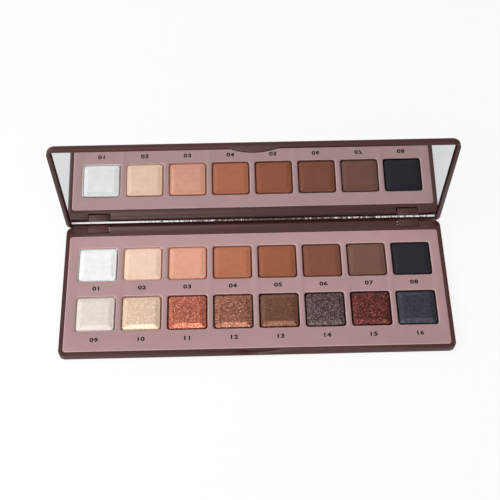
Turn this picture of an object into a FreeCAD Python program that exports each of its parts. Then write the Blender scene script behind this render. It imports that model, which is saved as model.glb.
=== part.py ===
import FreeCAD, Part
import math
import os

# Eyeshadow palette: a shallow hinged case with a mirror in the lid and sixteen pans.
# Millimetres. Origin at the middle of the case's underside, +X along its length,
# +Y towards the hinge and +Z up. The lid stands open, as it does in use.

# Pans
pan_columns = 8
pan_rows = 2
column_pitch = 23.0
row_pitch = 28.75
window_x = 20.3
window_y = 19.8
window_corner = 1.6
window_chamfer = 0.35
pan_gap = 0.15
pan_wall = 0.2
pan_height = 3.2
glue_thickness = 0.2
glue_radius = 4.0

# Powder cakes, pressed with a groove along the pan's wall and a sloping border up to a flat field
powder_clearance = 0.02
powder_below_rim = 0.2
powder_groove = 0.4
powder_groove_depth = 2.2
powder_corner = 1.5
powder_ledge = 0.45
powder_border = 2.1
powder_rise = 0.65

# Tray that frames the pans
tray_side_margin = 4.95
tray_front_margin = 11.0
tray_back_margin = 7.45
tray_corner = 1.5
tray_edge_round = 0.45
tray_plate = 1.0
tray_skirt = 0.9
well_wall = 0.7
well_floor = 0.6
tray_gap = 0.15
tray_proud = 0.2

# Case
rim_width = 2.0
case_corner = 3.3
bottom_round = 2.0
rim_round = 0.4
base_height = 5.2
base_floor = 1.2

# Lid and mirror
lid_gap = 0.3
lid_rim = 1.75
lid_corner = 4.6
lid_pocket_corner = 2.0
lid_panel = 0.9
lid_back_rim = 0.8
lid_round = 1.9
mirror_recess = 1.7
mirror_glass = 0.9
mirror_edge_gap = 0.4
mirror_corner = 1.2
mirror_bevel = 0.3
tape_thickness = 0.1
tape_inset = 4.0
lid_open_deg = 85.8

# Hinge; its axis lies the same depth in from the base's back and from its rim
hinge_strip = 5.8
axis_inset = 1.05
barrel_radius = 1.65
barrel_gap = 0.3
knuckle_reach = 2.4
knuckle_round = 0.4
pin_radius = 0.6
pin_press_gap = 0.02
pin_running_gap = 0.05
post_length = 11.0
knuckle_length = 10.4
knuckle_side_gap = 0.3
pin_gap_seen = 0.8
pin_grip = 4.0

# Thumb tab at the front
tab_width = 24.5
tab_drop = 2.6
tab_thickness = 1.0
tab_gap = 0.35
catch_width = 9.0
catch_radius = 0.25

# Sizes worked out from those above
window_area_x = (pan_columns - 1) * column_pitch + window_x
window_area_y = (pan_rows - 1) * row_pitch + window_y
tray_x = window_area_x + 2 * tray_side_margin
tray_y = window_area_y + tray_front_margin + tray_back_margin
pocket_x = tray_x + 2 * tray_gap
pocket_y = tray_y + 2 * tray_gap
case_x = pocket_x + 2 * rim_width
case_y = rim_width + pocket_y + hinge_strip
front = -case_y / 2
back = case_y / 2
pocket_front = front + rim_width
tray_mid_y = pocket_front + tray_gap + tray_y / 2
grid_mid_y = pocket_front + tray_gap + tray_front_margin + window_area_y / 2
tray_top = base_height + tray_proud
axis_y = back - axis_inset
axis_z = base_height - axis_inset
trough_reach = math.hypot(knuckle_reach, axis_inset) + barrel_gap
lid_rim_z = base_height + lid_gap
mirror_face_z = lid_rim_z + mirror_recess
mirror_back_z = mirror_face_z + mirror_glass
lid_pocket_z = mirror_back_z + tape_thickness
lid_top = lid_pocket_z + lid_panel
lid_pocket_x = case_x - 2 * lid_rim
lid_pocket_front = front + lid_rim
lid_pocket_back = back - lid_back_rim
lid_pocket_y = lid_pocket_back - lid_pocket_front
lid_pocket_mid_y = (lid_pocket_back + lid_pocket_front) / 2
pan_x = window_x - 2 * pan_gap
pan_y = window_y - 2 * pan_gap
pan_corner = window_corner - pan_gap
pan_floor_z = base_floor + well_floor + glue_thickness
knuckle_end = case_x / 2 - post_length - knuckle_side_gap
knuckle_start = knuckle_end - knuckle_length
barrel_end = knuckle_start - pin_gap_seen
trough_end = knuckle_end + knuckle_side_gap


def point(x, y, z):
    return FreeCAD.Vector(x, y, z)


def slab(x_size, y_size, z_low, z_high, corner, mid_y=0.0, mid_x=0.0):
    """Upright block with rounded corners in plan."""
    corner_at = point(mid_x - x_size / 2, mid_y - y_size / 2, z_low)
    block = Part.makeBox(x_size, y_size, z_high - z_low, corner_at)
    upright = [edge for edge in block.Edges if edge.BoundBox.ZLength > (z_high - z_low) / 2]
    return block.makeFillet(corner, upright)


def edges_at(shape, z):
    """Edges that lie in the level plane at height z."""
    return [e for e in shape.Edges if abs(e.BoundBox.ZMin - z) < 1e-5 and abs(e.BoundBox.ZMax - z) < 1e-5]


def bar(x_low, x_high, y_low, y_high, z_low, z_high):
    """Block between given limits."""
    return Part.makeBox(x_high - x_low, y_high - y_low, z_high - z_low, point(x_low, y_low, z_low))


def rod(x_low, x_high, radius):
    """Cylinder on the hinge axis."""
    return Part.makeCylinder(radius, x_high - x_low, point(x_low, axis_y, axis_z), point(1, 0, 0))


def mirrored(shape):
    """The same shape on the other side of the middle."""
    return shape.mirror(point(0, 0, 0), point(1, 0, 0))


def pan_places():
    """Centre of each pan, left to right, the row by the hinge first."""
    places = []
    for row in range(pan_rows):
        y = grid_mid_y + ((pan_rows - 1) / 2 - row) * row_pitch
        for column in range(pan_columns):
            x = (column - (pan_columns - 1) / 2) * column_pitch
            places.append((x, y))
    return places


def hinge_round_cut():
    """What is cut off the base's back edge so that it is round about the hinge axis."""
    far_y = axis_y + 2 * axis_inset
    far_z = axis_z + 2 * axis_inset
    rise = point(0, axis_y, axis_z + axis_inset)
    side = point(0, axis_y + axis_inset, axis_z)
    half = axis_inset * math.sqrt(0.5)
    middle = point(0, axis_y + half, axis_z + half)
    corners = [side, point(0, far_y, axis_z), point(0, far_y, far_z), point(0, axis_y, far_z), rise]
    lines = [Part.LineSegment(a, b).toShape() for a, b in zip(corners, corners[1:])]
    arc = Part.Arc(rise, middle, side).toShape()
    face = Part.Face(Part.Wire(lines + [arc]))
    face.translate(point(-case_x, 0, 0))
    return face.extrude(point(2 * case_x, 0, 0))


def tab_outline(width, drop, top_z, y_front, thickness):
    """Smile-shaped tongue that hangs from a level edge."""
    left = point(-width / 2, y_front, top_z)
    low = point(0, y_front, top_z - drop)
    right = point(width / 2, y_front, top_z)
    arc = Part.Arc(left, low, right).toShape()
    line = Part.LineSegment(right, left).toShape()
    return Part.Face(Part.Wire([arc, line])).extrude(point(0, thickness, 0))


def catch_rib(radius):
    """Low half-round rib along X behind the tab."""
    z = lid_rim_z - tab_drop / 2
    y = front + tab_thickness
    return Part.makeCylinder(radius, catch_width, point(-catch_width / 2, y, z), point(1, 0, 0))


def base_shell():
    """Lower case with the tray's pocket, the hinge posts and barrel and the notch for the tab."""
    shell = slab(case_x, case_y, 0, base_height, case_corner)
    shell = shell.makeFillet(bottom_round, edges_at(shell, 0))
    shell = shell.makeFillet(rim_round, edges_at(shell, base_height))
    shell = shell.cut(hinge_round_cut())
    above = 2 * base_height
    pocket = slab(pocket_x, pocket_y, base_floor, above, tray_corner + tray_gap, tray_mid_y)
    trough = bar(barrel_end, trough_end, axis_y - trough_reach, 2 * back, axis_z - trough_reach, above)
    barrel = rod(-barrel_end, barrel_end, barrel_radius)
    shell = shell.cut(pocket).fuse(barrel).cut(trough.fuse(mirrored(trough)))
    hole = rod(barrel_end - pin_grip, trough_end + pin_grip, pin_radius + pin_press_gap)
    shell = shell.cut(hole.fuse(mirrored(hole)))
    notch_width = tab_width + 2 * tab_gap
    notch_depth = tab_thickness + 2 * tab_gap
    notch = tab_outline(notch_width, tab_drop + tab_gap, lid_rim_z, front - tab_gap, notch_depth)
    return shell.cut(notch).cut(catch_rib(catch_radius + tab_gap)).removeSplitter()


def tray():
    """Moulded insert: a face plate with a well for each pan and a skirt that stands on the base."""
    plate_low = tray_top - tray_plate
    body = slab(tray_x, tray_y, base_floor, tray_top, tray_corner, tray_mid_y)
    body = body.makeFillet(tray_edge_round, edges_at(body, tray_top))
    inside_x = tray_x - 2 * tray_skirt
    inside_y = tray_y - 2 * tray_skirt
    inside = slab(inside_x, inside_y, base_floor, plate_low, tray_corner - tray_skirt, tray_mid_y)
    well_x = window_x + 2 * well_wall
    well_y = window_y + 2 * well_wall
    well_corner = window_corner + well_wall
    opening_low = base_floor + well_floor
    wells = []
    openings = []
    for x, y in pan_places():
        wells.append(slab(well_x, well_y, base_floor, plate_low, well_corner, y, x))
        openings.append(slab(window_x, window_y, opening_low, 2 * tray_top, window_corner, y, x))
    body = body.cut(inside.cut(Part.makeCompound(wells)))
    body = body.cut(Part.makeCompound(openings)).removeSplitter()
    inner_wires = [w for f in body.Faces if is_top_face(f) for w in f.Wires if not w.isSame(f.OuterWire)]
    return body.makeChamfer(window_chamfer, [edge for wire in inner_wires for edge in wire.Edges])


def is_top_face(face):
    """Whether a face is the tray's level top."""
    return abs(face.BoundBox.ZMin - tray_top) < 1e-5 and abs(face.BoundBox.ZMax - tray_top) < 1e-5


def pan(x, y):
    """Thin open metal pan."""
    inner_x = pan_x - 2 * pan_wall
    inner_y = pan_y - 2 * pan_wall
    outside = slab(pan_x, pan_y, pan_floor_z, pan_floor_z + pan_height, pan_corner, y, x)
    inside = slab(inner_x, inner_y, pan_floor_z + pan_wall, 2 * tray_top, pan_corner - pan_wall, y, x)
    return outside.cut(inside)


def powder(x, y):
    """Pressed cake: a bed that fills the pan and, inside a groove, a body with a raised field."""
    bed_inset = pan_wall + powder_clearance
    bed_corner = pan_corner - bed_inset
    ledge_z = pan_floor_z + pan_height - powder_below_rim
    groove_z = ledge_z - powder_groove_depth
    bed_x = pan_x - 2 * bed_inset
    bed_y = pan_y - 2 * bed_inset
    bed = slab(bed_x, bed_y, pan_floor_z + pan_wall, groove_z, bed_corner, y, x)
    body_x = bed_x - 2 * powder_groove
    body_y = bed_y - 2 * powder_groove
    body = slab(body_x, body_y, groove_z, ledge_z, powder_corner, y, x)
    foot_inset = bed_inset + powder_groove + powder_ledge
    foot = inset_wire(foot_inset, ledge_z, x, y)
    crown = inset_wire(foot_inset + powder_border, ledge_z + powder_rise, x, y)
    field = Part.makeLoft([foot, crown], True, True)
    return bed.fuse([body, field]).removeSplitter()


def inset_wire(inset, z, x, y):
    """Level outline of a pan, set in on every side."""
    half_x = pan_x / 2 - inset
    half_y = pan_y / 2 - inset
    corners = [point(x + sx * half_x, y + sy * half_y, z) for sx, sy in ((-1, -1), (1, -1), (1, 1), (-1, 1))]
    return Part.makePolygon(corners + corners[:1])


def glue_dots():
    """One dot of glue under each pan."""
    z = pan_floor_z - glue_thickness
    dots = [Part.makeCylinder(glue_radius, glue_thickness, point(x, y, z)) for x, y in pan_places()]
    return Part.makeCompound(dots)


def lid_shell():
    """Upper case, modelled shut: panel, rim, mirror recess, hinge knuckles and thumb tab."""
    shell = slab(case_x, case_y, lid_rim_z, lid_top, lid_corner)
    shell = shell.makeFillet(lid_round, edges_at(shell, lid_top))
    recess = slab(lid_pocket_x, lid_pocket_y, 0, lid_pocket_z, lid_pocket_corner, lid_pocket_mid_y)
    barrel_room = rod(-knuckle_start, knuckle_start, barrel_radius + barrel_gap)
    shell = shell.cut(recess).cut(barrel_room)
    low = axis_z - knuckle_reach
    knuckle = bar(knuckle_start, knuckle_end, axis_y - axis_inset, back, low, lid_rim_z + mirror_recess / 2)
    lengthwise = [edge for edge in edges_at(knuckle, low) if edge.BoundBox.XLength > knuckle_length / 2]
    knuckle = knuckle.makeFillet(knuckle_round, lengthwise)
    knuckle = knuckle.cut(rod(knuckle_start, knuckle_end, pin_radius + pin_running_gap))
    tab = tab_outline(tab_width, tab_drop, lid_rim_z, front, tab_thickness)
    return shell.fuse([knuckle, mirrored(knuckle), tab, catch_rib(catch_radius)]).removeSplitter()


def mirror():
    """Mirror glass with a ground bevel round its face, in the shut lid."""
    x_size = lid_pocket_x - 2 * mirror_edge_gap
    y_size = lid_pocket_y - 2 * mirror_edge_gap
    glass = slab(x_size, y_size, mirror_face_z, mirror_back_z, mirror_corner, lid_pocket_mid_y)
    return glass.makeChamfer(mirror_bevel, edges_at(glass, mirror_face_z))


def mirror_tape():
    """Double-sided tape that holds the mirror to the lid's panel."""
    x_size = lid_pocket_x - 2 * mirror_edge_gap - 2 * tape_inset
    y_size = lid_pocket_y - 2 * mirror_edge_gap - 2 * tape_inset
    return slab(x_size, y_size, mirror_back_z, lid_pocket_z, mirror_corner, lid_pocket_mid_y)


def hinge_pin():
    """Steel pin held in the base's post and barrel, with the lid's knuckle turning on it."""
    return rod(barrel_end - pin_grip + pin_press_gap, trough_end + pin_grip - pin_press_gap, pin_radius)


def opened(shape):
    """A piece of the shut lid, swung open about the hinge axis."""
    swung = shape.copy()
    swung.rotate(point(0, axis_y, axis_z), point(1, 0, 0), -lid_open_deg)
    return swung


def pieces():
    """Every piece by name, in place."""
    named = {
        "base_shell": base_shell(),
        "insert_tray": tray(),
        "pan_glue_dots": glue_dots(),
        "hinge_pin_right": hinge_pin(),
        "hinge_pin_left": mirrored(hinge_pin()),
        "lid_shell": opened(lid_shell()),
        "mirror_glass": opened(mirror()),
        "mirror_tape": opened(mirror_tape()),
    }
    for number, (x, y) in enumerate(pan_places(), start=1):
        named[f"pan_{number:02d}"] = pan(x, y)
        named[f"powder_{number:02d}"] = powder(x, y)
    return named


os.makedirs("parts", exist_ok=True)
for name, shape in pieces().items():
    shape.exportStep(f"parts/{name}.step")
    state = "valid" if shape.isValid() else "NOT VALID"
    print(name, state, len(shape.Solids), "solid(s)", round(shape.Volume, 1), "mm3")
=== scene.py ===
import math
import bpy
from mathutils import Matrix, Vector


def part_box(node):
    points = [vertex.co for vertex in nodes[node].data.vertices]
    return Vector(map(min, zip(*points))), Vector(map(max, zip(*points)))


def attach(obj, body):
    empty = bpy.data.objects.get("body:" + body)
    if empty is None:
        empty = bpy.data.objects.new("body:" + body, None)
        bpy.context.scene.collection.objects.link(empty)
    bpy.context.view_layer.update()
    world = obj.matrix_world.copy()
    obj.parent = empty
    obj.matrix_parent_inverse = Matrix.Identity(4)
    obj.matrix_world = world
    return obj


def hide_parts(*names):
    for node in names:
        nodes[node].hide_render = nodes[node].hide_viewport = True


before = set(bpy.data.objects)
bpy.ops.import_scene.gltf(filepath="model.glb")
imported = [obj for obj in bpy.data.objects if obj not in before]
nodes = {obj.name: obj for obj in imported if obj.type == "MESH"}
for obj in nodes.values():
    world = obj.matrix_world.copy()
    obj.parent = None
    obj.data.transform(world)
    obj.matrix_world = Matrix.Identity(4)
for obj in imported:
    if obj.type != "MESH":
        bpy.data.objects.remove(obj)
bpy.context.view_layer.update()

mm = 0.001
panCount = sum(name.startswith("pan_") and name[-2:].isdigit() for name in nodes)
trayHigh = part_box("insert_tray")[1]
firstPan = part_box("pan_01")
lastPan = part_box(f"pan_{panCount:02d}")
gridMid = (firstPan[0] + firstPan[1] + lastPan[0] + lastPan[1]) / 4
gridMid.z = trayHigh.z  # the middle of the pans, level with the tray's face


# small helpers for working as by hand

def deselectAll():
    if bpy.context.object and bpy.context.object.mode != "OBJECT":
        bpy.ops.object.mode_set(mode="OBJECT")
    bpy.ops.object.select_all(action="DESELECT")


def pickPiece(piece):
    deselectAll()
    piece.select_set(True)
    bpy.context.view_layer.objects.active = piece


def addBlock(name, low, high):
    deselectAll()
    bpy.ops.mesh.primitive_cube_add(size=1, location=(low + high) / 2, scale=high - low)
    bpy.ops.object.transform_apply(location=True, rotation=True, scale=True)
    block = bpy.context.object
    block.name = name
    block.data.name = name
    return block


def pickFaces(piece, test):
    pickPiece(piece)
    bpy.ops.object.mode_set(mode="EDIT")
    bpy.ops.mesh.select_mode(type="FACE")
    bpy.ops.mesh.select_all(action="DESELECT")
    bpy.ops.object.mode_set(mode="OBJECT")
    for face in piece.data.polygons:
        face.select = test(face.center, face.normal)
    bpy.ops.object.mode_set(mode="EDIT")


def facesUp(centre, normal):
    return normal.z > normal.xy.length


def pickEdges(piece, test):
    pickPiece(piece)
    bpy.ops.object.mode_set(mode="EDIT")
    bpy.ops.mesh.select_mode(type="EDGE")
    bpy.ops.mesh.select_all(action="DESELECT")
    bpy.ops.object.mode_set(mode="OBJECT")
    points = piece.data.vertices
    for edge in piece.data.edges:
        first, second = (points[i].co for i in edge.vertices)
        edge.select = test(first, second)
    bpy.ops.object.mode_set(mode="EDIT")


def standsUpright(first, second):
    return abs(first.z - second.z) > (first - second).xy.length


def applyModifiers(piece):
    pickPiece(piece)
    for modifier in list(piece.modifiers):
        bpy.ops.object.modifier_apply(modifier=modifier.name)


def smoothShade(piece, degrees):
    pickPiece(piece)
    bpy.ops.object.shade_smooth_by_angle(angle=math.radians(degrees))


def copyPiece(piece, name, move=Vector((0, 0, 0))):
    copied = piece.copy()
    copied.data = piece.data.copy()
    copied.name = name
    copied.data.name = name
    bpy.context.scene.collection.objects.link(copied)
    copied.data.transform(Matrix.Translation(move))
    return copied


copyCare = {"mergeBy": 0.002 * mm, "flatWithin": 0.5}  # the angle is in degrees


def nodeCopy(node, name):
    deselectAll()
    piece = copyPiece(nodes[node], name)
    for key in list(piece.keys()):
        del piece[key]
    piece.parent = None
    pickPiece(piece)
    bpy.ops.object.mode_set(mode="EDIT")
    bpy.ops.mesh.select_all(action="SELECT")
    bpy.ops.mesh.remove_doubles(threshold=copyCare["mergeBy"])
    bpy.ops.mesh.dissolve_limited(angle_limit=math.radians(copyCare["flatWithin"]))
    bpy.ops.object.mode_set(mode="OBJECT")
    return piece


softEdge = {"segments": 2, "smoothBelow": 30}


def softenEdges(piece, width, sharpFrom):
    bevel = piece.modifiers.new("softEdges", "BEVEL")
    bevel.width = width
    bevel.segments = softEdge["segments"]
    bevel.limit_method = "ANGLE"
    bevel.angle_limit = math.radians(sharpFrom)
    bevel.harden_normals = False
    applyModifiers(piece)
    smoothShade(piece, softEdge["smoothBelow"])


def dress(piece, material):
    piece.data.materials.clear()
    piece.data.materials.append(material)


# materials

def startMaterial(name):
    material = bpy.data.materials.new(name)
    material.use_nodes = True
    tree = material.node_tree
    shader = tree.nodes["Principled BSDF"]
    place = tree.nodes.new("ShaderNodeTexCoord").outputs["Object"]
    return material, tree, shader, place


def addNoise(tree, place, grain, detail=3.0):
    noise = tree.nodes.new("ShaderNodeTexNoise")
    noise.inputs["Scale"].default_value = 1 / grain
    noise.inputs["Detail"].default_value = detail
    tree.links.new(place, noise.inputs["Vector"])
    return noise


def addRamp(tree, value, stops):
    ramp = tree.nodes.new("ShaderNodeValToRGB")
    while len(ramp.color_ramp.elements) < len(stops):
        ramp.color_ramp.elements.new(0.5)  # moved to its own position below
    for element, (position, colour) in zip(ramp.color_ramp.elements, stops):
        element.position = position
        element.color = (*colour, 1)
    tree.links.new(value, ramp.inputs["Fac"])
    return ramp.outputs["Color"]


def addTones(tree, value, colour, darkest, palest, ends=(0.3, 0.7)):
    return addRamp(tree, value, [(ends[0], shade(colour, darkest)), (ends[1], shade(colour, palest))])


def addRange(tree, value, low, high):
    span = tree.nodes.new("ShaderNodeMapRange")
    span.inputs["To Min"].default_value = low
    span.inputs["To Max"].default_value = high
    tree.links.new(value, span.inputs["Value"])
    return span.outputs["Result"]


def addBump(tree, height, shader, strength, distance):
    bump = tree.nodes.new("ShaderNodeBump")
    bump.inputs["Strength"].default_value = strength
    bump.inputs["Distance"].default_value = distance
    tree.links.new(height, bump.inputs["Height"])
    tree.links.new(bump.outputs["Normal"], shader.inputs["Normal"])


def shade(colour, factor):
    return tuple(min(1, channel * factor) for channel in colour)


caseLook = {"brown": (0.060, 0.0145, 0.0125), "smudge": 14 * mm, "tones": (0.96, 1.04),
            "ends": (0.35, 0.65), "rough": (0.30, 0.38), "specular": 0.36, "spark": 0.22 * mm,
            "bump": (0.25, 0.02 * mm)}


def makeCasePlastic():
    material, tree, shader, place = startMaterial("caseSatinBrown")
    spark = addNoise(tree, place, caseLook["spark"], 2)
    smudge = addNoise(tree, place, caseLook["smudge"], 4)
    tone = addTones(tree, smudge.outputs["Fac"], caseLook["brown"], *caseLook["tones"], caseLook["ends"])
    tree.links.new(tone, shader.inputs["Base Color"])
    tree.links.new(addRange(tree, smudge.outputs["Fac"], *caseLook["rough"]), shader.inputs["Roughness"])
    shader.inputs["Specular IOR Level"].default_value = caseLook["specular"]
    addBump(tree, spark.outputs["Fac"], shader, *caseLook["bump"])
    return material


# edge is the paler pink painted on the tray's rounded edges and window chamfers as a highlight
trayLook = {"pink": (0.413, 0.254, 0.252), "edge": (0.58, 0.38, 0.37), "cloud": 9 * mm,
            "tones": (0.97, 1.03), "grain": 0.35 * mm, "rough": (0.45, 0.6), "bump": (0.15, 0.02 * mm)}


def makeTrayPaint(name, pink):
    material, tree, shader, place = startMaterial(name)
    grain = addNoise(tree, place, trayLook["grain"], 2)
    cloud = addNoise(tree, place, trayLook["cloud"], 3)
    tone = addTones(tree, cloud.outputs["Fac"], pink, *trayLook["tones"])
    tree.links.new(tone, shader.inputs["Base Color"])
    tree.links.new(addRange(tree, grain.outputs["Fac"], *trayLook["rough"]), shader.inputs["Roughness"])
    addBump(tree, grain.outputs["Fac"], shader, *trayLook["bump"])
    return material


# a number paired with a colour is its position on the ramp, here and in the looks below
inkLook = {"grain": 0.3 * mm, "full": (0.3, (0.005, 0.003, 0.003)), "thin": (0.75, (0.012, 0.007, 0.007)),
           "rough": 0.7, "specular": 0.15}


def makePrintInk():
    material, tree, shader, place = startMaterial("printInk")
    worn = addNoise(tree, place, inkLook["grain"], 2)
    tone = addRamp(tree, worn.outputs["Fac"], [inkLook["full"], inkLook["thin"]])
    tree.links.new(tone, shader.inputs["Base Color"])
    shader.inputs["Roughness"].default_value = inkLook["rough"]
    shader.inputs["Specular IOR Level"].default_value = inkLook["specular"]
    return material


# drawn metal: the lines run along X, and roughness spreads about the given one
metalLook = {"draw": (0.15, 1, 1), "tones": (0.85, 1.05), "spread": (0.8, 1.3)}


def makeBrightMetal(name, colour, grain, rough):
    material, tree, shader, place = startMaterial(name)
    stretch = tree.nodes.new("ShaderNodeMapping")
    stretch.inputs["Scale"].default_value = metalLook["draw"]
    tree.links.new(place, stretch.inputs["Vector"])
    lines = addNoise(tree, stretch.outputs["Vector"], grain, 3)
    tone = addTones(tree, lines.outputs["Fac"], colour, *metalLook["tones"])
    tree.links.new(tone, shader.inputs["Base Color"])
    smoothest, roughest = (rough * share for share in metalLook["spread"])
    tree.links.new(addRange(tree, lines.outputs["Fac"], smoothest, roughest), shader.inputs["Roughness"])
    shader.inputs["Metallic"].default_value = 1
    return material


mirrorLook = {"haze": 18 * mm, "dim": (0.3, (0.80, 0.81, 0.82)), "clear": (0.7, (0.84, 0.85, 0.86)),
              "rough": (0.004, 0.02)}


def makeMirrorFace():
    material, tree, shader, place = startMaterial("mirrorSilver")
    haze = addNoise(tree, place, mirrorLook["haze"], 4)
    tone = addRamp(tree, haze.outputs["Fac"], [mirrorLook["dim"], mirrorLook["clear"]])
    tree.links.new(tone, shader.inputs["Base Color"])
    tree.links.new(addRange(tree, haze.outputs["Fac"], *mirrorLook["rough"]), shader.inputs["Roughness"])
    shader.inputs["Metallic"].default_value = 1
    return material


# the white edge is chipped, most of all about the worn place; whitening is per metre away from it
groundLook = {"chip": 0.9 * mm, "wornAt": 18 * mm, "whitening": 3.6, "rough": 0.3,
              "bump": (0.3, 0.04 * mm), "bare": (0.53, (0.05, 0.02, 0.02)),
              "worn": (0.64, (0.22, 0.15, 0.14)), "whole": (0.73, (0.96, 0.97, 0.97))}


def makeGroundEdge():
    material, tree, shader, place = startMaterial("groundGlassEdge")
    chips = addNoise(tree, place, groundLook["chip"], 3)
    axes = tree.nodes.new("ShaderNodeSeparateXYZ")
    tree.links.new(place, axes.inputs["Vector"])
    offset = tree.nodes.new("ShaderNodeMath")
    offset.operation = "SUBTRACT"
    offset.inputs[1].default_value = groundLook["wornAt"]
    tree.links.new(axes.outputs["X"], offset.inputs[0])
    away = tree.nodes.new("ShaderNodeMath")
    away.operation = "ABSOLUTE"
    tree.links.new(offset.outputs["Value"], away.inputs[0])
    whole = tree.nodes.new("ShaderNodeMath")
    whole.operation = "MULTIPLY_ADD"
    whole.inputs[1].default_value = groundLook["whitening"]
    tree.links.new(away.outputs["Value"], whole.inputs[0])
    tree.links.new(chips.outputs["Fac"], whole.inputs[2])
    stops = [groundLook["bare"], groundLook["worn"], groundLook["whole"]]
    tone = addRamp(tree, whole.outputs["Value"], stops)
    tree.links.new(tone, shader.inputs["Base Color"])
    shader.inputs["Roughness"].default_value = groundLook["rough"]
    addBump(tree, chips.outputs["Fac"], shader, *groundLook["bump"])
    return material


dullLook = {"tones": (0.9, 1.05), "rough": 0.7}


def makeDullSheet(name, colour, grain):
    material, tree, shader, place = startMaterial(name)
    fibres = addNoise(tree, place, grain, 4)
    tone = addTones(tree, fibres.outputs["Fac"], colour, *dullLook["tones"])
    tree.links.new(tone, shader.inputs["Base Color"])
    shader.inputs["Roughness"].default_value = dullLook["rough"]
    return material


matteLook = {"grain": 0.28 * mm, "press": 2.4 * mm, "grainShare": 0.6, "contrast": 0.08,
             "ends": (0.35, 0.65), "rough": 0.85, "specular": 0.3, "bump": (0.3, 0.03 * mm)}


def makeMattePowder(name, colour):
    material, tree, shader, place = startMaterial(name)
    grain = addNoise(tree, place, matteLook["grain"], 4)
    press = addNoise(tree, place, matteLook["press"], 3)
    both = tree.nodes.new("ShaderNodeMath")
    both.operation = "MULTIPLY_ADD"
    both.inputs[1].default_value = matteLook["grainShare"]
    tree.links.new(grain.outputs["Fac"], both.inputs[0])
    pressPart = tree.nodes.new("ShaderNodeMath")
    pressPart.operation = "MULTIPLY"
    pressPart.inputs[1].default_value = 1 - matteLook["grainShare"]
    tree.links.new(press.outputs["Fac"], pressPart.inputs[0])
    tree.links.new(pressPart.outputs["Value"], both.inputs[2])
    spread = matteLook["contrast"]
    tone = addTones(tree, both.outputs["Value"], colour, 1 - spread, 1 + spread, matteLook["ends"])
    tree.links.new(tone, shader.inputs["Base Color"])
    shader.inputs["Roughness"].default_value = matteLook["rough"]
    shader.inputs["Specular IOR Level"].default_value = matteLook["specular"]
    addBump(tree, grain.outputs["Fac"], shader, *matteLook["bump"])
    return material


# flakes run from dull to sparks; plain and bright are the ramp positions in between
flakeMix = {"plain": 0.55, "bright": 0.85, "height": 0.06 * mm}


def makeShimmerPowder(name, colour, look):
    material, tree, shader, place = startMaterial(name)
    flakes = tree.nodes.new("ShaderNodeTexVoronoi")
    flakes.inputs["Scale"].default_value = 1 / look["flake"]
    tree.links.new(place, flakes.inputs["Vector"])
    pick = tree.nodes.new("ShaderNodeSeparateColor")
    tree.links.new(flakes.outputs["Color"], pick.inputs["Color"])
    dull, bright, spark = look["tones"]
    sparkColour = tuple(channel + (1 - channel) * look["pale"] for channel in shade(colour, spark))
    stops = [(0, shade(colour, dull)), (flakeMix["plain"], colour),
             (flakeMix["bright"], shade(colour, bright)), (1, sparkColour)]
    tree.links.new(addRamp(tree, pick.outputs["Red"], stops), shader.inputs["Base Color"])
    tree.links.new(addRange(tree, pick.outputs["Green"], *look["metal"]), shader.inputs["Metallic"])
    tree.links.new(addRange(tree, pick.outputs["Blue"], *look["rough"]), shader.inputs["Roughness"])
    addBump(tree, pick.outputs["Green"], shader, look["tilt"], flakeMix["height"])
    return material


# powder cakes

# tones are shares of the cake's colour for dull, bright and sparkling flakes; pale whitens the sparks
sheen = {"flake": 0.6 * mm, "tones": (0.94, 1.04, 1.12), "pale": 0,
         "metal": (0, 0.15), "rough": (0.4, 0.5), "tilt": 0.12}
satin = {"flake": 0.45 * mm, "tones": (0.84, 1.12, 1.4), "pale": 0,
         "metal": (0.2, 0.6), "rough": (0.3, 0.45), "tilt": 0.2}
pearl = {"flake": 0.42 * mm, "tones": (0.45, 1.5, 2.3), "pale": 0.18,
         "metal": (0.55, 0.95), "rough": (0.26, 0.4), "tilt": 0.3}
frosted = {"flake": 0.30 * mm, "tones": (0.6, 1.35, 2.2), "pale": 0,
           "metal": (0.6, 0.95), "rough": (0.24, 0.36), "tilt": 0.18}
glitter = {"flake": 0.44 * mm, "tones": (0.3, 2.2, 4.2), "pale": 0.06,
           "metal": (0.45, 0.95), "rough": (0.25, 0.42), "tilt": 0.6}

# colours from left to right, the row by the hinge first; no look means a matte cake
shades = [
    ((0.85, 0.85, 0.85), None),
    ((0.845, 0.585, 0.453), None),
    ((0.711, 0.342, 0.24), None),
    ((0.437, 0.149, 0.079), None),
    ((0.298, 0.0955, 0.048), None),
    ((0.202, 0.0706, 0.0412), None),
    ((0.167, 0.0762, 0.0568), None),
    ((0.0138, 0.0129, 0.0186), None),
    ((0.76, 0.665, 0.605), sheen),
    ((0.72, 0.53, 0.385), satin),
    ((0.42, 0.116, 0.070), pearl),
    ((0.272, 0.101, 0.061), pearl),
    ((0.166, 0.069, 0.042), frosted),
    ((0.078, 0.047, 0.046), glitter),
    ((0.094, 0.0182, 0.0166), glitter),
    ((0.046, 0.047, 0.062), frosted),
]

cornerSegments = 6
cake = {"corner": 1.9 * mm, "groove": 0.4 * mm, "grooveDepth": 2.2 * mm, "ledge": 0.45 * mm,
        "border": 2.1 * mm, "rise": 0.65 * mm, "voxel": 0.25 * mm, "grain": 0.9 * mm,
        "grainHeight": 0.025 * mm}


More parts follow.
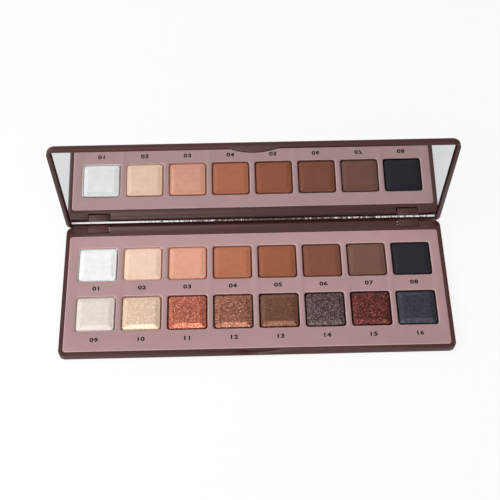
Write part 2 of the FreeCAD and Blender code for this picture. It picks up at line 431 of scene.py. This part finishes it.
def makeCake():
    low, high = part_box("powder_01")
    bedTop = high - Vector((0, 0, cake["rise"] + cake["grooveDepth"]))
    block = addBlock("cakeMaster", low, bedTop)
    pickEdges(block, standsUpright)
    bpy.ops.mesh.bevel(offset=cake["corner"], segments=cornerSegments, affect="EDGES")
    pickFaces(block, facesUp)
    bpy.ops.mesh.inset(thickness=cake["groove"])
    bpy.ops.mesh.extrude_region_move(TRANSFORM_OT_translate={"value": (0, 0, cake["grooveDepth"])})
    bpy.ops.mesh.inset(thickness=cake["ledge"])
    bpy.ops.mesh.inset(thickness=cake["border"], depth=cake["rise"])
    bpy.ops.object.mode_set(mode="OBJECT")
    remesh = block.modifiers.new("pressed", "REMESH")
    remesh.mode = "VOXEL"
    remesh.voxel_size = cake["voxel"]
    soften = block.modifiers.new("crumbled", "SMOOTH")
    soften.iterations = 1
    applyModifiers(block)
    return block


def makeGrain():
    grain = bpy.data.textures.new("pressedGrain", "CLOUDS")
    grain.noise_scale = cake["grain"]
    grain.noise_depth = 2
    return grain


def makeCakes():
    master = makeCake()
    grain = makeGrain()
    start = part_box("powder_01")[0]
    finishes = []
    for index, (colour, look) in enumerate(shades):
        name = f"powder_{index + 1:02d}"
        piece = copyPiece(master, f"cake_{index + 1:02d}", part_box(name)[0] - start)
        rough = piece.modifiers.new("grain", "DISPLACE")
        rough.texture = grain
        rough.strength = cake["grainHeight"]
        rough.mid_level = 1
        applyModifiers(piece)
        bpy.ops.object.shade_smooth()
        finish = makeMattePowder(name, colour) if look is None else makeShimmerPowder(name, colour, look)
        dress(piece, finish)
        finishes.append(finish)
        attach(piece, "base")
        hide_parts(name)
    bpy.data.objects.remove(master)
    print("cakes pressed:", len(shades))
    return finishes


# pans

# powder dusts the near and left rims and shows most where it is pale; the far and right rims are painted
# near-black, a painted shade for the gap beside the pan
panForm = {"corner": 1.45 * mm, "wall": 0.2 * mm, "rimRound": 0.06 * mm, "sharpFrom": 60,
           "dusting": 0.6, "shadedSide": 0.97}
panLook = {"aluminium": (0.78, 0.77, 0.75), "shadedRim": (0.09, 0.07, 0.065), "line": 0.4 * mm,
           "rough": 0.28, "rimRough": 0.3}


def makePans(powders):
    low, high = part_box("pan_01")
    master = addBlock("panMaster", low, high)
    tall = high.z - low.z
    pickEdges(master, standsUpright)
    bpy.ops.mesh.bevel(offset=panForm["corner"], segments=cornerSegments, affect="EDGES")
    pickFaces(master, facesUp)
    bpy.ops.mesh.inset(thickness=panForm["wall"])
    bpy.ops.mesh.extrude_region_move(TRANSFORM_OT_translate={"value": (0, 0, panForm["wall"] - tall)})
    bpy.ops.object.mode_set(mode="OBJECT")
    softenEdges(master, panForm["rimRound"], panForm["sharpFrom"])
    metal = makeBrightMetal("panAluminium", panLook["aluminium"], panLook["line"], panLook["rough"])
    # the near-black rim metal is painted shade, not the aluminium's own colour
    shadedRim = makeBrightMetal("panRimPaintedShade", panLook["shadedRim"], panLook["line"], panLook["rimRough"])
    half = (high - low) / 2
    for number in range(1, panCount + 1):
        name = f"pan_{number:02d}"
        piece = copyPiece(master, f"tin_{number:02d}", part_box(name)[0] - low)
        dress(piece, metal)
        piece.data.materials.append(powders[number - 1])  # powder dust covers the inner walls
        colour = shades[number - 1][0]
        rimColour = shade(colour, (sum(colour) / 3) ** panForm["dusting"])
        rimName = f"panRim_{number:02d}"
        dustyRim = makeBrightMetal(rimName, rimColour, panLook["line"], panLook["rimRough"])
        piece.data.materials.append(dustyRim)
        piece.data.materials.append(shadedRim)
        middle = sum(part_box(name), Vector()) / 2
        for face in piece.data.polygons:
            offset = face.center - middle
            inward = offset.xy.dot(face.normal.xy) < 0
            onRim = face.center.z > high.z - 2 * panForm["rimRound"]
            # rim faces on the far and right sides take the near-black painted shade
            bare = max(offset.x / half.x, offset.y / half.y) > panForm["shadedSide"]
            face.material_index = 2 + bare if onRim else int(inward)
        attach(piece, "base")
        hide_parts(name)
    bpy.data.objects.remove(master)
    print("pans made:", panCount)


# case, tray and mirror, from the solids' own shapes with softened edges

shellForm = {"softness": 0.12 * mm, "sharpFrom": 40}


def makeShells():
    plastic = makeCasePlastic()
    for node, body in (("base_shell", "base"), ("lid_shell", "lid")):
        piece = nodeCopy(node, node + "_finished")
        softenEdges(piece, shellForm["softness"], shellForm["sharpFrom"])
        dress(piece, plastic)
        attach(piece, body)
        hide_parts(node)
    print("case shells finished")


# slanted faces down to the lip's depth are painted a paler pink, a painted highlight on the rounded edges
# and window chamfers
trayForm = {"softness": 0.1 * mm, "sharpFrom": 30, "lip": 0.5 * mm, "slant": (0.2, 0.98)}


def makeTray():
    piece = nodeCopy("insert_tray", "tray_finished")
    softenEdges(piece, trayForm["softness"], trayForm["sharpFrom"])
    dress(piece, makeTrayPaint("trayDustyPink", trayLook["pink"]))
    piece.data.materials.append(makeTrayPaint("trayEdgePaintedHighlight", trayLook["edge"]))
    steepest, flattest = trayForm["slant"]
    for face in piece.data.polygons:
        slanted = steepest < face.normal.z < flattest
        face.material_index = int(slanted and face.center.z > trayHigh.z - trayForm["lip"])
    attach(piece, "base")
    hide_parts("insert_tray")
    print("tray finished")


# the strip below the ground band is painted near-black, a painted shade for the gap under the mirror's
# foot
mirrorForm = {"shadedStrip": 1.5 * mm, "groundBand": 0.45 * mm, "lean": 0.52 * mm, "closeBy": 0.1 * mm,
              "sameWay": 0.999, "shadeStripColour": (0.02, 0.01, 0.01), "shadeStripGrain": 0.8 * mm}


def makeMirror():
    piece = nodeCopy("mirror_glass", "mirror_finished")
    pickPiece(piece)
    bpy.ops.mesh.customdata_custom_splitnormals_clear()
    bpy.ops.object.shade_flat()
    front = max(piece.data.polygons, key=lambda face: face.area * (face.normal.y < 0))
    facing = front.normal.copy()
    upward = facing.cross(Vector((1, 0, 0)))
    upward *= math.copysign(1, upward.z)
    lowest = min((piece.data.vertices[i].co for i in front.vertices), key=lambda point: point.z).copy()
    bandFoot = lowest + upward * mirrorForm["shadedStrip"]
    bandTop = bandFoot + upward * mirrorForm["groundBand"]
    for level in (bandFoot, bandTop):
        pickFaces(piece, lambda centre, normal: normal.dot(facing) > mirrorForm["sameWay"])
        bpy.ops.mesh.bisect(plane_co=level, plane_no=upward)
    bpy.ops.object.mode_set(mode="OBJECT")
    for point in piece.data.vertices:
        fromFoot = point.co - bandFoot
        onFoot = abs(fromFoot.dot(upward)) < mirrorForm["closeBy"]
        onFace = fromFoot.dot(facing) > -mirrorForm["closeBy"]
        if onFoot and onFace:
            point.co += facing * mirrorForm["lean"]  # the ground band leans out at its foot
    dress(piece, makeMirrorFace())
    piece.data.materials.append(makeGroundEdge())
    # near-black painted shade for the strip below the ground band
    paintedShadeGlass = makeDullSheet("mirrorFootPaintedShade", mirrorForm["shadeStripColour"], mirrorForm["shadeStripGrain"])
    piece.data.materials.append(paintedShadeGlass)
    for face in piece.data.polygons:
        aboveFoot = (face.center - bandFoot).dot(upward) > 0
        aboveBand = (face.center - bandTop).dot(upward) > 0
        face.material_index = 2 - aboveFoot - aboveBand
    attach(piece, "lid")
    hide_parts("mirror_glass")
    print("mirror cut")


# printed numbers under the pans

# the bold and the film are shares of the type size
label = {"capHeight": 2.4 * mm, "backRow": 4.5 * mm, "frontRow": 5.0 * mm, "bold": 0.04, "film": 0.01,
         "spacing": 1.1, "widen": 1.3, "roundness": 3}


def makeNumbers():
    ink = makePrintInk()
    for number in range(1, panCount + 1):
        low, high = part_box(f"pan_{number:02d}")
        middle = (low + high) / 2
        below = label["backRow"] if middle.y > gridMid.y else label["frontRow"]
        deselectAll()
        bpy.ops.object.text_add(location=(middle.x, low.y - below, trayHigh.z))
        text = bpy.context.object
        text.name = f"number_{number:02d}"
        text.data.body = f"{number:02d}"
        text.data.align_x = "CENTER"
        text.data.align_y = "CENTER"
        text.data.resolution_u = label["roundness"]
        text.data.space_character = label["spacing"]
        text.data.offset = label["bold"]
        text.data.extrude = label["film"]
        bpy.ops.object.convert(target="MESH")
        text.scale = Vector((label["widen"], 1, 1)) * label["capHeight"] / text.dimensions.y
        bpy.ops.object.transform_apply(location=True, rotation=True, scale=True)
        piece = bpy.context.object
        dress(piece, ink)
        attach(piece, "base")
    print("numbers printed:", panCount)


# pieces that stay as the solids are

pinLook = {"steel": (0.12, 0.10, 0.095), "line": 0.25 * mm, "rough": 0.5, "smoothBelow": 40}
tapeLook = {"white": (0.8, 0.8, 0.77), "grain": 0.8 * mm}
glueLook = {"clear": (0.78, 0.74, 0.62), "grain": 1.5 * mm}


def dressHidden():
    steel = makeBrightMetal("pinSteel", pinLook["steel"], pinLook["line"], pinLook["rough"])
    for node in ("hinge_pin_left", "hinge_pin_right"):
        dress(nodes[node], steel)
        smoothShade(nodes[node], pinLook["smoothBelow"])
    dress(nodes["mirror_tape"], makeDullSheet("whiteTape", tapeLook["white"], tapeLook["grain"]))
    dress(nodes["pan_glue_dots"], makeDullSheet("clearGlue", glueLook["clear"], glueLook["grain"]))
    print("pins, tape and glue dressed")


# floor, light and camera

room = {"floorSize": 6.0, "floorDrop": 0.05 * mm, "floorRough": 0.9, "white": 0.96, "shadowShare": 0.12,
        "mirrored": 0.82, "slope": (-0.6, -0.4, 0.0), "diffuse": 0.42}


def seenStraight(tree):
    paths = tree.nodes.new("ShaderNodeLightPath")
    seen = paths.outputs["Is Camera Ray"]
    for kind in ("Is Glossy Ray", "Is Transmission Ray"):
        either = tree.nodes.new("ShaderNodeMath")
        either.operation = "MAXIMUM"
        tree.links.new(seen, either.inputs[0])
        tree.links.new(paths.outputs[kind], either.inputs[1])
        seen = either.outputs["Value"]
    return seen


def makeFloor():
    deselectAll()
    bpy.ops.mesh.primitive_plane_add(size=room["floorSize"], location=(0, 0, -room["floorDrop"]))
    floor = bpy.context.object
    floor.name = "paleFloor"
    material = bpy.data.materials.new("paleFloor")
    material.use_nodes = True
    tree = material.node_tree
    shader = tree.nodes["Principled BSDF"]
    shader.inputs["Base Color"].default_value = (room["white"],) * 3 + (1,)
    shader.inputs["Roughness"].default_value = room["floorRough"]
    glow = tree.nodes.new("ShaderNodeEmission")
    straight = tree.nodes.new("ShaderNodeLightPath").outputs["Is Camera Ray"]
    tree.links.new(addRange(tree, straight, room["mirrored"], 1), glow.inputs["Strength"])
    mix = tree.nodes.new("ShaderNodeMixShader")
    tree.links.new(addRange(tree, seenStraight(tree), 0, 1 - room["shadowShare"]), mix.inputs["Fac"])
    tree.links.new(shader.outputs["BSDF"], mix.inputs[1])
    tree.links.new(glow.outputs["Emission"], mix.inputs[2])
    tree.links.new(mix.outputs["Shader"], tree.nodes["Material Output"].inputs["Surface"])
    dress(floor, material)


def makeWorld():
    world = bpy.data.worlds.new("paleStudio")
    bpy.context.scene.world = world
    world.use_nodes = True
    tree = world.node_tree
    back = tree.nodes["Background"]
    back.inputs["Color"].default_value = (1, 1, 1, 1)
    slope = tree.nodes.new("ShaderNodeVectorMath")  # the room is brighter to the left and in front
    slope.operation = "DOT_PRODUCT"
    slope.inputs[1].default_value = room["slope"]
    tree.links.new(tree.nodes.new("ShaderNodeTexCoord").outputs["Generated"], slope.inputs[0])
    level = tree.nodes.new("ShaderNodeMath")
    level.operation = "ADD"
    level.inputs[1].default_value = 1
    tree.links.new(slope.outputs["Value"], level.inputs[0])
    falling = tree.nodes.new("ShaderNodeMath")
    falling.operation = "MULTIPLY"
    tree.links.new(level.outputs["Value"], falling.inputs[0])
    tree.links.new(addRange(tree, seenStraight(tree), room["diffuse"], 1), falling.inputs[1])
    strength = tree.nodes.new("ShaderNodeMapRange")  # plain white where the camera looks straight at it
    straight = tree.nodes.new("ShaderNodeLightPath").outputs["Is Camera Ray"]
    tree.links.new(straight, strength.inputs["Value"])
    tree.links.new(falling.outputs["Value"], strength.inputs["To Min"])
    tree.links.new(strength.outputs["Result"], back.inputs["Strength"])


lamps = {
    "key": {"place": (-0.45, -0.3, 0.8), "size": 0.4, "power": 1.55},
    "top": {"place": (-0.1, -0.05, 0.95), "size": 0.3, "power": 1.45},
    "left": {"place": (-0.7, -0.15, 0.45), "size": 0.4, "power": 2.8},
}


def makeLamps():
    for name, lamp in lamps.items():
        light = bpy.data.lights.new(name, "AREA")
        light.size = lamp["size"]
        light.energy = lamp["power"]
        lampObject = bpy.data.objects.new(name, light)
        lampObject.location = lamp["place"]
        lampObject.rotation_euler = (gridMid - Vector(lamp["place"])).to_track_quat("-Z", "Y").to_euler()
        bpy.context.scene.collection.objects.link(lampObject)


# seen from the front, well above and a touch to the left, with a long lens
shot = {"focal": 81.23, "elevation": 58.0, "azimuth": -1.278, "roll": -0.155,
        "aim": Vector((-2.28, 21.25, 0)) * mm, "distance": 582.8 * mm, "sensor": 36, "clipFrom": 10 * mm}


def makeCamera():
    turn = math.radians(shot["azimuth"])
    lift = math.radians(shot["elevation"])
    roll = math.radians(shot["roll"])
    back = Vector((math.sin(turn) * math.cos(lift), -math.cos(turn) * math.cos(lift), math.sin(lift)))
    level = Vector((math.cos(turn), math.sin(turn), 0))
    upright = back.cross(level)
    right = level * math.cos(roll) + upright * math.sin(roll)
    up = upright * math.cos(roll) - level * math.sin(roll)
    data = bpy.data.cameras.new("studioCamera")
    data.lens = shot["focal"]
    data.sensor_width = shot["sensor"]
    data.clip_start = shot["clipFrom"]
    camera = bpy.data.objects.new("studioCamera", data)
    bpy.context.scene.collection.objects.link(camera)
    place = gridMid + shot["aim"] + back * shot["distance"]
    camera.matrix_world = Matrix.Translation(place) @ Matrix((right, up, back)).transposed().to_4x4()
    bpy.context.scene.camera = camera


makeShells()
makeTray()
cakeFinishes = makeCakes()
makePans(cakeFinishes)
makeMirror()
makeNumbers()
dressHidden()
makeFloor()
makeWorld()
makeLamps()
makeCamera()
bpy.context.scene.view_settings.view_transform = "Standard"
print("floor, light and camera set")
